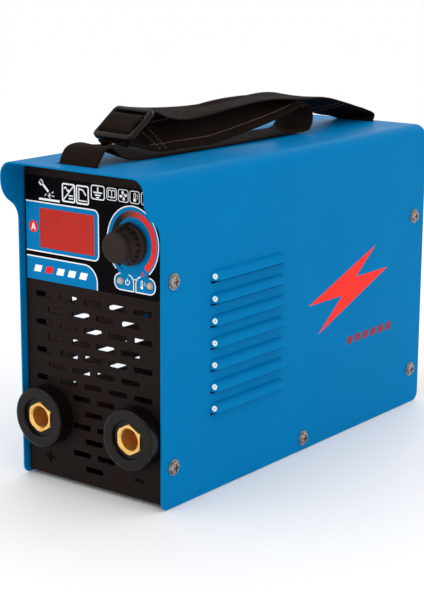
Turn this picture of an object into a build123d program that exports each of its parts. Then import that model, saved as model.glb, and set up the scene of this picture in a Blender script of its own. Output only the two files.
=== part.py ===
from build123d import *
import math
import os

# ---------------------------------------------------------------------------
# Compact portable stick-welding inverter, millimetres, +Z up, +X to the right
# seen from the front, +Y towards the back.  All coordinates below are written
# with Y = 0 at the lower front edge of the cover's side walls; every node is
# moved by -Y_MID on export, so that the origin is the centre of the footprint.
# ---------------------------------------------------------------------------
W = 112.0            # width over the side walls
H = 200.0            # height of the cover
T = 1.0              # cover sheet thickness
TP = 1.2             # panel and tray sheet thickness
R_TOP = 9.0          # outer bend radius of the cover's long top edges
HOOD_Y = -14.609     # front edge of the hood
REAR_Y = 293.3       # rear edge of the cover
PANEL_Y = 3.6        # outer face of the front panel
REAR_PANEL_Y = 289.7 # outer face of the rear panel
GLAND_END = 313.4    # rear end of the cable gland
Y_MID = (HOOD_Y + GLAND_END) / 2
PX = W / 2 - T - 0.3 # outer face of the panel side flanges
FLANGE = 16.4        # depth of the panel side flanges
TRAY_Z = 2.4         # underside of the tray
SOCKET_X, SOCKET_Z = 35.7, 42.4
SOCKET_BORE_R = 6.5
KNOB_X, KNOB_Z = 31.6, 157.9
FAN_X, FAN_Z = 0.0, 62.0
FAN_PITCH = 35.75    # half the fan's hole spacing
SWITCH_X, SWITCH_Z = -24.0, 150.0
GLAND_X, GLAND_Z = 28.0, 150.0
GLAND_SEAL_R = 4.5
LED_POS = [(22.1, 134.7), (44.5, 134.7)]
WINDOW = (-41.3, 2.5, 146.6, 170.9)
OVERLAY = (-52.4, 52.4, 126.2, 190.0)
SCREWS = [(11.0, 137.7), (280.0, 137.3), (10.7, 25.5), (281.0, 25.5), (146.0, 8.5)]
LOUVRE_Z = [133.2 - 13.6 * k for k in range(7)]
LOUVRE_Y = (45.0, 122.0)
LOUVRE_RO = 5.7
LOUVRE_IN = 1.3      # how far the louvre's axis sits inside the outer face
STRAP_T = 1.7
SLOT_FRONT = (-23.2, 9.9, -2.3, 2.3)
SLOT_REAR = (-16.6, 16.6, 285.2, 288.4)

os.makedirs("parts", exist_ok=True)
NODES = {}


def bx(x0, x1, y0, y1, z0, z1):
    return Pos((x0 + x1) / 2, (y0 + y1) / 2, (z0 + z1) / 2) * Box(x1 - x0, y1 - y0, z1 - z0)


def cy(x, z, r, y0, y1):
    return Pos(x, (y0 + y1) / 2, z) * Rot(90, 0, 0) * Cylinder(r, y1 - y0)


def cx(y, z, r, x0, x1):
    return Pos((x0 + x1) / 2, y, z) * Rot(0, 90, 0) * Cylinder(r, x1 - x0)


def cz(x, y, r, z0, z1):
    return Pos(x, y, (z0 + z1) / 2) * Cylinder(r, z1 - z0)


def hexy(x, z, af, y0, y1, turn=0):
    # hexagonal prism along Y; turn=0 has two corners up and down
    pts = [(x + af / math.sqrt(3) * math.sin(math.radians(60 * k + turn)),
            z + af / math.sqrt(3) * math.cos(math.radians(60 * k + turn))) for k in range(6)]
    return prism_xz(pts, y0, y1)


def prism_xz(pts, y0, y1):
    # polygon in X-Z swept from y0 to y1
    w = Wire.make_polygon([Vector(p[0], y0, p[1]) for p in pts], close=True)
    return extrude(Face(w), amount=y1 - y0, dir=(0, 1, 0))


def prism_yz(pts, x0, x1):
    w = Wire.make_polygon([Vector(x0, p[0], p[1]) for p in pts], close=True)
    return extrude(Face(w), amount=x1 - x0, dir=(1, 0, 0))


def prism_xy(pts, z0, z1):
    w = Wire.make_polygon([Vector(p[0], p[1], z0) for p in pts], close=True)
    return extrude(Face(w), amount=z1 - z0, dir=(0, 0, 1))


def rev_y(x, z, prof):
    # profile (radius, y) turned about the line parallel to Y through (x, z)
    w = Wire.make_polygon([Vector(x + p[0], p[1], z) for p in prof], close=True)
    return revolve(Face(w), Axis((x, 0, z), (0, 1, 0)), 360)


def edges_at(s, fn):
    return [e for e in s.edges() if fn(e)]


def one(s):
    # the boolean kernel may return a list of solids
    if isinstance(s, ShapeList):
        return Compound(children=list(s)) if len(s) > 1 else s[0]
    return s


def put(name, s):
    NODES[name] = one(s)


def cutall(s, tools):
    # one cut after another, each clear of the last
    for t in tools:
        s = s - t
    return one(s)


def mirx(s):
    return mirror(s, about=Plane.YZ)


# ----------------------------------------------------------- cover, tray, panels
a1 = math.radians(58.6)
infl = (-14 + 14 * math.cos(a1), 162.5 + 14 * math.sin(a1))
c2 = (infl[0] + 16.5 * math.cos(a1), infl[1] + 16.5 * math.sin(a1))
am = (math.pi + math.pi + a1) / 2


def P(y, z):
    return Vector(-W / 2, y, z)


q = math.sqrt(0.5)
edges = [
    Edge.make_line(P(287.3, 0.4), P(5, 0.4)),
    Edge.make_three_point_arc(P(5, 0.4), P(5 - 5 * q, 5.4 - 5 * q), P(0, 5.4)),
    Edge.make_line(P(0, 5.4), P(0, 162.5)),
    Edge.make_three_point_arc(P(0, 162.5), P(-14 + 14 * math.cos(a1 / 2), 162.5 + 14 * math.sin(a1 / 2)), P(*infl)),
    Edge.make_three_point_arc(P(*infl), P(c2[0] + 16.5 * math.cos(am), c2[1] + 16.5 * math.sin(am)), P(c2[0] - 16.5, c2[1])),
    Edge.make_line(P(c2[0] - 16.5, c2[1]), P(c2[0] - 16.5, H)),
    Edge.make_line(P(c2[0] - 16.5, H), P(REAR_Y, H)),
    Edge.make_line(P(REAR_Y, H), P(REAR_Y, 6.4)),
    Edge.make_three_point_arc(P(REAR_Y, 6.4), P(287.3 + 6 * q, 6.4 - 6 * q), P(287.3, 0.4)),
]
blank = extrude(Face(Wire(edges)), amount=W, dir=(1, 0, 0))
blank = fillet(edges_at(blank, lambda e: abs(e.center().Z - H) < 1e-3 and abs(abs(e.center().X) - W / 2) < 1e-3), R_TOP)
hollow = bx(-W / 2 + T, W / 2 - T, -40, 330, -20, H - T)
hollow = fillet(edges_at(hollow, lambda e: abs(e.center().Z - (H - T)) < 1e-3 and abs(abs(e.center().X) - (W / 2 - T)) < 1e-3), R_TOP - T)
cover = blank - hollow

LX = W / 2 - LOUVRE_IN
half_o = (LOUVRE_Y[1] - LOUVRE_Y[0]) / 2 - math.sqrt(LOUVRE_RO ** 2 - LOUVRE_IN ** 2)
LYC = (LOUVRE_Y[0] + LOUVRE_Y[1]) / 2


def capsule(z, r):
    s = Pos(LX, LYC, z) * Rot(90, 0, 0) * Cylinder(r, 2 * half_o)
    return s + Pos(LX, LYC - half_o, z) * Sphere(r) + Pos(LX, LYC + half_o, z) * Sphere(r)


cuts, blisters = [], []
for zc in LOUVRE_Z:
    lip = zc - 1.2
    above = bx(W / 2 - T, W / 2 + 12, 30, 140, lip, lip + 12)
    inner = capsule(lip, LOUVRE_RO - T)
    shell = (capsule(lip, LOUVRE_RO) - inner) & above
    hole = (inner & bx(W / 2 - T - 0.5, W / 2 + 12, 30, 140, lip, lip + 12)) + bx(W / 2 - T - 0.5, W / 2 + 0.5, LYC - half_o - 4.3, LYC + half_o + 4.3, zc - 3.2, lip + 0.01)
    cuts += [hole, mirx(hole)]
    blisters += [shell, mirx(shell)]
for (y, z) in SCREWS:
    cuts += [cx(y, z, 2.2, -60, 60)]
cuts += [bx(SLOT_FRONT[0], SLOT_FRONT[1], SLOT_FRONT[2], SLOT_FRONT[3], 190, 210),
         bx(SLOT_REAR[0], SLOT_REAR[1], SLOT_REAR[2], SLOT_REAR[3], 190, 210)]
cover = cutall(cover, cuts)
cover = cover + blisters
put("top_cover", cover)

tray = bx(-53.2, 53.2, PANEL_Y + TP, REAR_PANEL_Y - TP, TRAY_Z, TRAY_Z + TP)
tray = tray + bx(-PX, PX, 20.4, 271.6, TRAY_Z, TRAY_Z + TP)
tray = tray + bx(PX - TP, PX, 20.4, 271.6, TRAY_Z, 16) + bx(-PX, -PX + TP, 20.4, 271.6, TRAY_Z, 16)
tray = tray + bx(-52.8, 52.8, PANEL_Y + TP, PANEL_Y + 2 * TP, TRAY_Z, 10)
tray = tray + bx(-52.8, 52.8, REAR_PANEL_Y - 2 * TP, REAR_PANEL_Y - TP, TRAY_Z, 10)
tray = tray - cx(SCREWS[4][0], SCREWS[4][1], 2.2, -60, 60)
STANDOFFS = [(-46.2, 70), (46.2, 70), (-44, 248), (44, 248), (-15.5, 129), (15.5, 129)]
tray = cutall(tray, [cz(x, y, 1.6, 0, 5) for (x, y) in STANDOFFS])
tray = cutall(tray, [bx(x - 2, x + 2, 30, 56, 0, 6) for x in range(-36, 37, 12)])
put("base_tray", tray)

feet = []
for x in (-40, 40):
    for y in (22, 266):
        f = cz(x, y, 7, 0, TRAY_Z)
        feet.append(fillet(edges_at(f, lambda e: e.center().Z < 0.01), 0.8))
put("rubber_feet", Compound(children=feet))


def panel_shell(y_out, sgn):
    # folded panel: flat face at y_out, flanges running inwards (sgn = +1 front, -1 rear)
    ya, yb = sorted((y_out, y_out + sgn * FLANGE))
    s = bx(-PX, PX, ya, yb, 3.0, H - T - 0.3)
    s = fillet(edges_at(s, lambda e: abs(e.center().Z - (H - T - 0.3)) < 1e-3 and abs(abs(e.center().X) - PX) < 1e-3), R_TOP - T - 0.3)
    s = fillet(edges_at(s, lambda e: abs(abs(e.center().X) - PX) < 1e-3 and abs(e.center().Y - y_out) < 1e-3), 1.9)
    ya, yb = sorted((y_out + sgn * TP, y_out + sgn * (FLANGE + 5)))
    i = bx(-PX + TP, PX - TP, ya, yb, -5.0, H - T - 0.3 - TP)
    i = fillet(edges_at(i, lambda e: abs(e.center().Z - (H - T - 0.3 - TP)) < 1e-3 and abs(abs(e.center().X) - (PX - TP)) < 1e-3), R_TOP - T - 0.3 - TP)
    return s - i


fp = panel_shell(PANEL_Y, 1)
cut = []
for k in range(13):
    z = 12.6 + 8.75 * k
    xs = (-29.25, -9.75, 9.75, 29.25) if k % 2 else (-39.0, -19.5, 0.0, 19.5, 39.0)
    for x in xs:
        if min(math.hypot(x - s * SOCKET_X, z - SOCKET_Z) for s in (-1, 1)) < 20.5:
            continue
        if (k == 0 and x) or (k == 1 and abs(x) > 20):
            continue                                  # plain metal left and right, where the polarity signs are
        slot = bx(x - 7.05, x + 7.05, 0, 8, z - 1.75, z + 1.75)
        cut.append(fillet(slot.edges().filter_by(Axis.Y), 0.9))
fp = cutall(fp, cut)
cut = [cy(s * SOCKET_X, SOCKET_Z, 12.6, 0, 8) for s in (-1, 1)]
cut.append(bx(WINDOW[0] - 0.1, WINDOW[1] + 0.1, 0, 8, WINDOW[2] - 0.1, WINDOW[3] + 0.1))
cut.append(cy(KNOB_X, KNOB_Z, 3.7, 0, 8))
cut += [cy(x, z, 2.65, 0, 8) for (x, z) in LED_POS]
cut.append(bx(SLOT_FRONT[0] - 1, SLOT_FRONT[1] + 1, 0, 30, 196.0, 205))
cut += [cx(y, z, 2.2, -60, 60) for (y, z) in (SCREWS[0], SCREWS[2])]
put("front_panel", cutall(fp, cut))

rp = panel_shell(REAR_PANEL_Y, -1)
cut = [cy(FAN_X, FAN_Z, 37.5, 280, 295)]
cut += [cy(FAN_X + sx * FAN_PITCH, FAN_Z + sz * FAN_PITCH, 2.3, 280, 295) for sx in (-1, 1) for sz in (-1, 1)]
cut.append(bx(SWITCH_X - 13.6, SWITCH_X + 13.6, 280, 295, SWITCH_Z - 14.1, SWITCH_Z + 14.1))
cut.append(cy(GLAND_X, GLAND_Z, 10.2, 280, 295))
cut.append(bx(SLOT_REAR[0] - 1, SLOT_REAR[1] + 1, 265, REAR_PANEL_Y - TP, 192, 205))
cut += [cx(y, z, 2.2, -60, 60) for (y, z) in (SCREWS[1], SCREWS[3])]
put("rear_panel", cutall(rp, cut))

# ------------------------------------------------------------ front controls
ov = bx(OVERLAY[0], OVERLAY[1], PANEL_Y - 0.3, PANEL_Y, OVERLAY[2], OVERLAY[3])
ov = fillet(edges_at(ov, lambda e: abs(e.center().Y - (PANEL_Y - 0.15)) < 1e-3), 3)
ov = cutall(ov, [cy(x, z, 2.65, 0, 8) for (x, z) in LED_POS])
ov = cutall(ov, [bx(WINDOW[0], WINDOW[1], 0, 8, WINDOW[2], WINDOW[3]), cy(KNOB_X, KNOB_Z, 3.7, 0, 8)])
put("front_overlay", ov)

win = bx(WINDOW[0] + 0.05, WINDOW[1] - 0.05, PANEL_Y - 0.25, 5.6, WINDOW[2] + 0.05, WINDOW[3] - 0.05)
win = win + bx(WINDOW[0] - 2, WINDOW[1] + 2, PANEL_Y + TP, 5.6, WINDOW[2] - 2, WINDOW[3] + 2)
put("display_window", win)

mod = bx(-38.4, -0.4, 6.2, 13.0, 149.2, 168.3)
seg = []
for d in range(3):
    x0 = -36.6 + 12.4 * d
    for (xa, xb, za, zb) in ((1.5, 8.5, 164.2, 165.6), (1.5, 8.5, 158.1, 159.5), (1.5, 8.5, 152.0, 153.4),
                             (0, 1.4, 159.6, 164.1), (0, 1.4, 153.5, 158.0), (8.6, 10, 159.6, 164.1), (8.6, 10, 153.5, 158.0)):
        seg.append(bx(x0 + xa, x0 + xb, 6.0, 6.35, za, zb))
mod = cutall(mod, seg)
put("display_module", mod)

cb = bx(-48, 50, 13.0, 14.6, 131, 186)
cb = cutall(cb, [cy(x, z, 1.7, 10, 20) for (x, z) in ((-43.5, 134.5), (-43.5, 182.5), (46.5, 182.5))])
chips = [bx(-20, -8, 14.6, 16.4, 140, 152), bx(4, 14, 14.6, 16.2, 160, 174), bx(-42, -26, 14.6, 24, 172, 181)]
put("control_board", cb + chips)
put("panel_standoffs", Compound(children=[
    cy(x, z, 3.0, PANEL_Y + TP, 13.0) for (x, z) in ((-43.5, 134.5), (-43.5, 182.5), (46.5, 182.5))]))

pot = rev_y(KNOB_X, KNOB_Z, [(3.05, -1.4), (3.5, -1.4), (3.5, 4.8), (8.6, 4.8), (8.6, 12.2), (3.05, 12.2)])
pot = pot + bx(KNOB_X - 6, KNOB_X + 6, 8.6, 12.2, KNOB_Z - 14, KNOB_Z - 8)
pot = pot - cy(KNOB_X, KNOB_Z, 3.05, -3, 12.0)
put("potentiometer_body", pot)
put("potentiometer_nut", hexy(KNOB_X, KNOB_Z, 10, 1.2, 3.3, 10) - cy(KNOB_X, KNOB_Z, 3.52, 0, 4))
shaft = cy(KNOB_X, KNOB_Z, 3.0, -9.6, 11.8) - bx(KNOB_X - 4, KNOB_X + 4, -10, -2.4, KNOB_Z + 1.6, KNOB_Z + 4)
put("knob_shaft", shaft)

kn = rev_y(KNOB_X, KNOB_Z, [(0, -13.0), (8.2, -13.0), (8.8, -12.75), (9.2, -12.1), (9.4, -8.9), (9.15, -8.6), (9.15, -8.2), (9.75, -7.9),
                            (11.3, -2.2), (12.0, -1.7), (12.4, -1.1), (12.4, 1.4), (0, 1.4)])
flutes = []
for k in range(18):
    a = 20 * k + 10
    flutes.append(Pos(KNOB_X, -5.0, KNOB_Z) * Rot(0, -a, 0) * Pos(11.1, 0, 0) * Rot(0, 0, 15.2) * Rot(90, 0, 0) * Cylinder(0.8, 5.4))
kn = cutall(kn, flutes)
kn = kn + prism_yz([(-13.0, KNOB_Z + 5.0), (-13.0, KNOB_Z + 9.3), (-12.2, KNOB_Z + 9.9), (-1.2, KNOB_Z + 13.0), (0.9, KNOB_Z + 13.2), (0.9, KNOB_Z + 5.0)], KNOB_X - 1.0, KNOB_X + 1.0)
kn = kn - (cy(KNOB_X, KNOB_Z, 3.0, -9.6, 5) - bx(KNOB_X - 4, KNOB_X + 4, -10, -2.4, KNOB_Z + 1.6, KNOB_Z + 4))
kn = kn - cy(KNOB_X, KNOB_Z, 9.0, -2.4, 5)
put("current_knob", kn)

for nm, (x, z) in zip(("power_led", "fault_led"), LED_POS):
    led = rev_y(x, z, [(0, 1.9), (1.2, 2.15), (2.0, 2.75), (2.45, 3.6), (2.5, 4.2), (2.5, 9.0), (2.9, 9.0), (2.9, 10.0), (0, 10.0)])
    led = led + bx(x - 1.55, x - 1.0, 9.9, 13.0, z - 0.25, z + 0.25) + bx(x + 1.0, x + 1.55, 9.9, 13.0, z - 0.25, z + 0.25)
    put(nm, led)

# ------------------------------------------------------------ welding sockets
for nm, s in (("negative", 1), ("positive", -1)):
    x, z = s * SOCKET_X, SOCKET_Z
    hs = rev_y(x, z, [(8.6, -5.3), (11.6, -5.3), (12.1, -6.9), (12.7, -7.5), (17.6, -7.5), (18.5, -7.1), (18.8, -6.2),
                      (18.8, PANEL_Y), (12.5, PANEL_Y), (12.5, 20.0), (8.6, 20.0)])
    hs = hs - hexy(x, z, 17.05, -8, 4.0) - hexy(x, z, 17.05, 3.9, 12.0)
    put(nm + "_socket_housing", hs)
    ins = hexy(x, z, 17, -6.1, 11.9)
    cone = rev_y(x, z, [(0, -6.2), (8.9, -6.2), (10.2, -4.9), (10.2, 30), (0, 30)])
    ins = ins & cone
    ins = ins + cy(x, z, 8.5, 11.8, 24.0) + cy(x, z, 4.0, 23.9, 38.0)
    ins = ins - rev_y(x, z, [(0, -6.2), (7.35, -6.2), (SOCKET_BORE_R, -5.2), (SOCKET_BORE_R, 21.0), (0, 21.0)])
    put(nm + "_socket_insert", ins)
    bus = prism_yz([(24.0, 32.0), (24.0, 49.5), (26.0, 49.5), (26.0, 34.0), (66.0, 34.0), (66.0, 15.6), (64.0, 15.6), (64.0, 32.0)], x - 6.5, x + 6.5)
    put(nm + "_bus_bar", bus - cy(x, z, 4.1, 20, 30))
rings, nuts = [], []
for s in (-1, 1):
    x = s * SOCKET_X
    rings.append(hexy(x, SOCKET_Z, 32, PANEL_Y + TP, 10.5) - cy(x, SOCKET_Z, 12.5, 0, 20))
    nuts.append(hexy(x, SOCKET_Z, 13, 26.0, 32.5) - cy(x, SOCKET_Z, 4.05, 20, 40))
put("socket_lock_rings", Compound(children=rings))
put("socket_stud_nuts", Compound(children=nuts))

# ------------------------------------------------------------ power electronics
BZ = 15.6
mb = bx(-50, 50, 62, 254, 14.0, BZ)
mb = cutall(mb, [cz(x, y, 1.7, 10, 20) for (x, y) in STANDOFFS])
put("main_board", mb)
so = []
for (x, y) in STANDOFFS:
    so.append(cz(x, y, 3.2, TRAY_Z + TP, 14.0) + cz(x, y, 1.5, 0.9, TRAY_Z + TP + 0.01) + cz(x, y, 1.6, 14.0, 15.6) + cz(x, y, 2.9, 15.6, 17.2))
put("board_standoffs", Compound(children=so))


def heatsink(sgn):
    s = bx(26, 30.5, 130, 236, BZ, 96)
    fins = [bx(30.4, 49, 130, 236, BZ + 1 + 8.2 * k, BZ + 2.6 + 8.2 * k) for k in range(10)]
    s = s + fins
    return s if sgn > 0 else mirx(s)


put("heatsink_primary", heatsink(1))
put("heatsink_secondary", heatsink(-1))


def to247(x0, x1, y, z0=24):
    return bx(x0, x1, y - 7.9, y + 7.9, z0, z0 + 21) + [bx((x0 + x1) / 2 - 0.4, (x0 + x1) / 2 + 0.4, y - 6.2 + 5.45 * k, y - 5 + 5.45 * k, BZ, z0 + 0.1) for k in range(3)]


put("igbt_modules", Compound(children=[one(to247(21.0, 26.0, y)) for y in (142, 162, 200, 220)]))
put("output_diodes", Compound(children=[one(to247(-26.0, -21.0, y)) for y in (142, 162, 200, 220)]))

core = bx(-10, 10, 134, 178, BZ, BZ + 44) - bx(-11, 11, 141, 150, BZ + 7, BZ + 37) - bx(-11, 11, 162, 171, BZ + 7, BZ + 37)
put("transformer_core", core)
wd = bx(-17, 17, 141.2, 170.8, BZ + 7.2, BZ + 36.8)
wd = fillet(wd.edges().filter_by(Axis.Z), 4.5)
wd = wd - bx(-10.1, 10.1, 149.9, 162.1, BZ, BZ + 44)
put("transformer_winding", wd)
ch = Pos(0, 208, BZ + 10) * (Cylinder(19, 19) - Cylinder(8.5, 30))
ch = fillet(ch.edges(), 3.5)
put("output_choke", ch)
caps = []
for (x, y) in ((31.5, 82.6), (33, 113), (0, 110)):
    c = cz(x, y, 15, BZ, BZ + 42)
    caps.append(fillet(edges_at(c, lambda e: e.center().Z > BZ + 41), 1.5))
put("bulk_capacitors", Compound(children=caps))
rb = bx(-42, -14, 72, 100, BZ, BZ + 9)
rb = rb + [bx(-39 + 18.5 * i, -36 + 18.5 * i + 0.5, 75 + 18 * j, 76 + 18 * j, BZ + 8.9, BZ + 16) for i in (0, 1) for j in (0, 1)]
put("rectifier_bridge", rb)

# ------------------------------------------------------------ insulating liners
# thin sheets inside the cover's walls, slotted behind each louvre
for nm, sgn in (("right", 1), ("left", -1)):
    ln = bx(54.35, 54.85, 20.7, 271.3, 17.0, 190.0)
    ln = cutall(ln, [bx(54, 55.5, LOUVRE_Y[0] - 1, LOUVRE_Y[1] + 1, zc - 3.4, zc + 1.6) for zc in LOUVRE_Z])
    put("insulation_liner_" + nm, ln if sgn > 0 else mirx(ln))

# ------------------------------------------------------------ fan
ff = bx(-40, 40, 263.5, 288.5, FAN_Z - 40, FAN_Z + 40)
ff = fillet(ff.edges().filter_by(Axis.Y), 5)
ff = ff - cy(0, FAN_Z, 38, 260, 290)
ff = cutall(ff, [bx(sx * 39 - 8, sx * 39 + 8, 268.0, 284.0, FAN_Z + sz * 39 - 8, FAN_Z + sz * 39 + 8) - cy(0, FAN_Z, 39.8, 260, 290) for sx in (-1, 1) for sz in (-1, 1)])
ff = cutall(ff, [cy(sx * FAN_PITCH, FAN_Z + sz * FAN_PITCH, 2.25, 260, 290) for sx in (-1, 1) for sz in (-1, 1)])
struts = [Pos(0, 265.0, FAN_Z) * Rot(0, 45 + 90 * k, 0) * Pos(27, 0, 0) * Box(24, 3, 4) for k in range(4)]
ff = ff + struts
ff = ff + cy(0, FAN_Z, 17, 263.5, 266.5) + cy(0, FAN_Z, 4.2, 266.4, 279.0)
ff = ff - cy(0, FAN_Z, 1.55, 264.5, 282)
put("fan_frame", ff)

hub = cy(0, FAN_Z, 17, 268.2, 286.5)
hub = fillet(edges_at(hub, lambda e: e.center().Y > 286.4), 1.5)
hub = hub - cy(0, FAN_Z, 15, 260, 284.5)
blades = []
for k in range(7):
    b = Pos(0, 277.4, FAN_Z) * Rot(0, 360 / 7 * k, 0) * Pos(26.4, 0, 0) * Rot(38, 0, 0) * Box(22, 20.5, 1.5)
    blades.append(b & (cy(0, FAN_Z, 36.8, 268.6, 286.4) - cy(0, FAN_Z, 16.2, 260, 290)))
rot = hub
for b in blades:
    rot = rot + b
rot = rot + cy(0, FAN_Z, 1.5, 267.2, 284.6)
put("fan_rotor", rot)

WY = 290.75
guard = None
for r in (10, 18, 26, 34):
    ring = rev_y(0, FAN_Z, [(r + 0.9 * math.cos(math.radians(22.5 + 45 * i)), WY + 0.9 * math.sin(math.radians(22.5 + 45 * i))) for i in range(8)])
    guard = ring if guard is None else guard + ring
for k in range(4):
    guard = guard + Pos(0, WY + 0.05, FAN_Z) * Rot(0, 45 + 90 * k, 0) * Pos(28.7, 0, 0) * Rot(0, 90, 0) * Cylinder(0.8, 39)
for sx in (-1, 1):
    for sz in (-1, 1):
        guard = guard + (cy(sx * FAN_PITCH, FAN_Z + sz * FAN_PITCH, 4.2, 289.75, 291.75) - cy(sx * FAN_PITCH, FAN_Z + sz * FAN_PITCH, 2.3, 289, 293))
        guard = guard - cy(sx * FAN_PITCH, FAN_Z + sz * FAN_PITCH, 2.3, 289, 293)
put("fan_guard", guard)
fs, fn = [], []
for sx in (-1, 1):
    for sz in (-1, 1):
        x, z = sx * FAN_PITCH, FAN_Z + sz * FAN_PITCH
        s = rev_y(x, z, [(0, 257.5), (2.0, 257.5), (2.0, 291.8), (4.0, 291.8), (4.0, 292.9), (3.2, 293.9), (1.8, 294.3), (0, 294.4)])
        s = s - bx(x - 2.3, x + 2.3, 292.9, 296, z - 0.45, z + 0.45) - bx(x - 0.45, x + 0.45, 292.9, 296, z - 2.3, z + 2.3)
        fs.append(one(s))
        fn.append(hexy(x, z, 7, 260.3, 263.45) - cy(x, z, 2.02, 255, 270))
put("fan_screws", Compound(children=fs))
put("fan_screw_nuts", Compound(children=[one(n) for n in fn]))

# ------------------------------------------------------------ mains switch, rear
X, Z = SWITCH_X, SWITCH_Z
sb = bx(X - 15.5, X + 15.5, REAR_PANEL_Y, REAR_PANEL_Y + 2.0, Z - 16.5, Z + 16.5)
sb = fillet(edges_at(sb, lambda e: abs(e.center().Y - (REAR_PANEL_Y + 1.0)) < 1e-3), 2.5)
sb = fillet(edges_at(sb, lambda e: abs(e.center().Y - (REAR_PANEL_Y + 2.0)) < 1e-3), 0.7)
sb = sb + bx(X - 13.4, X + 13.4, 270, REAR_PANEL_Y + 0.1, Z - 13.9, Z + 13.9)
sb = sb - bx(X - 11.0, X + 11.0, 281, 300, Z - 13.2, Z + 13.2) - cx(287.5, Z, 1.55, X - 12.6, X + 12.6)
sb = one(sb + [bx(X - 8 + 8 * k - 0.4, X - 8 + 8 * k + 0.4, 262, 270.1, Z - 3 + 9 * j, Z + 3 + 9 * j) for k in (0, 2) for j in (-0.7, 0.7)])
put("power_switch_body", sb)
PV = 287.5
prof = [(PV - 3.0, -8.0), (PV - 1.5, -12.0), (PV + 5.0, -12.0), (PV + 5.6, -11.4), (PV + 3.4, -5), (PV + 2.9, 0), (PV + 3.4, 5), (PV + 5.6, 11.4), (PV + 5.0, 12.0), (PV - 1.5, 12.0), (PV - 3.0, 8.0)]
rk = prism_yz([(y, Z + z) for (y, z) in prof], X - 10.6, X + 10.6)
rk = rk + cx(PV, Z, 1.5, X - 12.4, X + 12.4)
# resting in the off position, tilted 9 degrees about its pin
rk = Pos(0, PV, Z) * Rot(-9, 0, 0) * Pos(0, -PV, -Z) * rk
put("power_switch_rocker", rk)

# ------------------------------------------------------------ cable gland, rear
X, Z = GLAND_X, GLAND_Z
gb = hexy(X, Z, 24, REAR_PANEL_Y, 295.5, 30) & rev_y(X, Z, [(0, 280), (14, 280), (14, 294.4), (12.6, 295.5), (0, 295.5)])
gb = gb + cy(X, Z, 10.0, 279.5, REAR_PANEL_Y + 0.1) + cy(X, Z, 8.9, 295.4, 303.0)
gb = gb - cy(X, Z, 6.0, 270, 296.0) - cy(X, Z, 7.4, 295.9, 310)
put("cable_gland_body", gb)
gc = rev_y(X, Z, [(9.0, 295.8), (11.6, 295.8), (11.9, 296.2), (11.9, 304.5), (11.2, 308.5), (9.6, 311.6), (7.6, 313.2), (6.6, GLAND_END), (5.6, 312.9), (5.6, 310.2), (7.4, 308.2), (9.0, 306.0)])
flats = []
for k in range(6):
    flats.append(Pos(X, 300.2, Z) * Rot(0, 60 * k, 0) * Pos(13.2, 0, 0) * Box(3.6, 9.0, 30))
put("cable_gland_cap", cutall(gc, flats))
put("cable_gland_seal", rev_y(X, Z, [(GLAND_SEAL_R, 296.2), (7.3, 296.2), (7.3, 307.2), (5.6, 309.2), (GLAND_SEAL_R, 309.2)]))
put("cable_gland_locknut", hexy(X, Z, 26, 283.5, REAR_PANEL_Y - TP, 30) - cy(X, Z, 10.02, 270, 300))

# ------------------------------------------------------------ cover screws
sc, cn = [], []
for (y, z) in SCREWS:
    pts = [(0, 47.0), (2.0, 47.0), (2.0, W / 2), (4.95, W / 2), (4.95, W / 2 + 0.55), (4.1, W / 2 + 0.75), (3.9, W / 2 + 1.5), (3.2, W / 2 + 2.1), (2.0, W / 2 + 2.4), (0, W / 2 + 2.5)]
    w = Wire.make_polygon([Vector(p[1], y + p[0], z) for p in pts], close=True)
    s = revolve(Face(w), Axis((0, y, z), (1, 0, 0)), 360)
    s = s - bx(W / 2 + 1.1, W / 2 + 4, y - 2.4, y + 2.4, z - 0.5, z + 0.5) - bx(W / 2 + 1.1, W / 2 + 4, y - 0.5, y + 0.5, z - 2.4, z + 2.4)
    s = one(s)
    n = bx(PX - TP - 2.4, PX - TP, y - 4.5, y + 4.5, z - 4.3, z + 4.3) - cx(y, z, 2.03, 40, 60)
    sc += [s, mirx(s)]
    cn += [n, mirx(n)]
put("cover_screws", Compound(children=[one(s) for s in sc]))
put("cover_clip_nuts", Compound(children=[one(s) for s in cn]))

# ------------------------------------------------------------ printed side mark
bolt = [(34, 24.5), (-46, -3.5), (-6, -3.5), (-34, -24.5), (50, 6.5), (10, 6.5)]
mark = prism_yz([(196 + p[0], 100 + p[1]) for p in bolt], W / 2, W / 2 + 0.08)
put("side_decal_right", mark)
put("side_decal_left", prism_yz([(196 - p[0], 100 + p[1]) for p in bolt], -W / 2 - 0.08, -W / 2))

# ------------------------------------------------------------ carrying strap
BAR_F, BAR_R, RB = (13.5, 191.8), (283.4, 190.6), 2.95


def arc(c, r, a0, a1, n):
    return [(c[0] + r * math.cos(math.radians(a0 + (a1 - a0) * i / n)), c[1] + r * math.sin(math.radians(a0 + (a1 - a0) * i / n))) for i in range(n + 1)]


ctrl = arc(BAR_F, RB, -150, 95, 8)
ctrl += [(9.0, 196.3), (4.2, 197.1), (1.3, 197.6), (0.2, 199.5), (0.2, 203.0), (2.6, 207.6), (7.5, 209.9), (14, 210.4), (22, 208.6), (32, 204.6), (42, 202.0), (54, 201.1), (80, 201.0), (130, 201.0), (175, 201.0), (198, 201.0)]
ctrl += arc((204, 208.0), 7.0, -90, 90, 8)
ctrl += [(190, 216.0), (165, 217.2), (140, 216.6), (110, 214.8), (88, 213.0), (70, 211.3), (55, 209.8), (43, 208.9), (37.4, 209.2), (34.4, 210.7), (34.2, 212.9), (36.2, 215.2), (41, 218.9), (46.5, 223.0), (51, 225.2), (57, 225.9), (66, 225.2), (80, 224.2), (110, 224.0), (160, 224.0), (200, 224.0), (216, 223.6), (232, 219.9), (255, 214.0), (276, 208.6), (283.5, 206.0), (286.7, 203.2), (287.3, 199.4), (287.2, 195.5)]
ctrl += arc(BAR_R, RB + 0.35, 15, -215, 9)


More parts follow.
